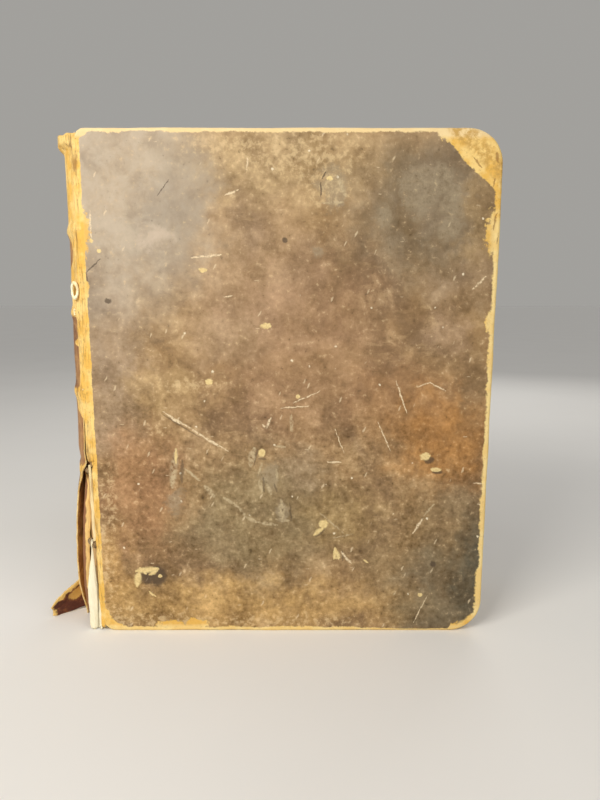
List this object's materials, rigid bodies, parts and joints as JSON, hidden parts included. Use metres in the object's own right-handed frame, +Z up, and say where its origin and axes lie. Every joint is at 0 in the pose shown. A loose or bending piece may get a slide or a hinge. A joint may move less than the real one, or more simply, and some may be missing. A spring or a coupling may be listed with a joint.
{
  "type": "family bible",
  "caption": "Large antique leather-bound book standing on its tail, with rounded spine, raised bands, worn rounded corners, a torn spine flap and hinged covers.",
  "frame": {"origin": "on the standing surface, below the middle of the book's outer box, midway between the tip of the torn flap and the fore-edge", "axes": "+Z up from tail to head, +X from the spine to the fore-edge, -Y out of the front cover"},
  "size_m": [0.2693, 0.0738, 0.29],
  "materials": {
    "cover_leather": "mottled, worn calf",
    "spine_leather": "worn, torn calf",
    "pasteboard": "layered pasteboard",
    "pages": "aged page edges",
    "endpaper": "foxed rag paper",
    "lining_paper": "glue-stained paper",
    "hemp_cord": "twisted hemp",
    "endband_thread": "wrapped thread"
  },
  "bodies": {
    "text_block": {"text_block": "pages", "front_flyleaf": "endpaper", "back_flyleaf": "endpaper", "endleaf_stub": "endpaper", "spine_lining": "lining_paper", "head_endband": "endband_thread", "tail_endband": "endband_thread", "sewing_cord_1": "hemp_cord", "sewing_cord_2": "hemp_cord", "sewing_cord_3": "hemp_cord", "sewing_cord_4": "hemp_cord", "sewing_cord_5": "hemp_cord", "spine_leather": "spine_leather"},
    "front_cover": {"front_board": "pasteboard", "front_leather": "cover_leather", "front_pastedown": "endpaper", "front_lacing_slips": "hemp_cord"},
    "back_cover": {"back_board": "pasteboard", "back_leather": "cover_leather", "back_pastedown": "endpaper", "back_lacing_slips": "hemp_cord"}
  },
  "joints": [
    {"name": "front_cover_hinge", "type": "hinge", "parent": "text_block", "child": "front_cover", "pos_m": [-0.0945, -0.03685, 0.145], "axis": [0, 0, -1], "range_deg": [0, 180]},
    {"name": "back_cover_hinge", "type": "hinge", "parent": "text_block", "child": "back_cover", "pos_m": [-0.0945, 0.03685, 0.145], "axis": [0, 0, 1], "range_deg": [0, 180]}
  ]
}
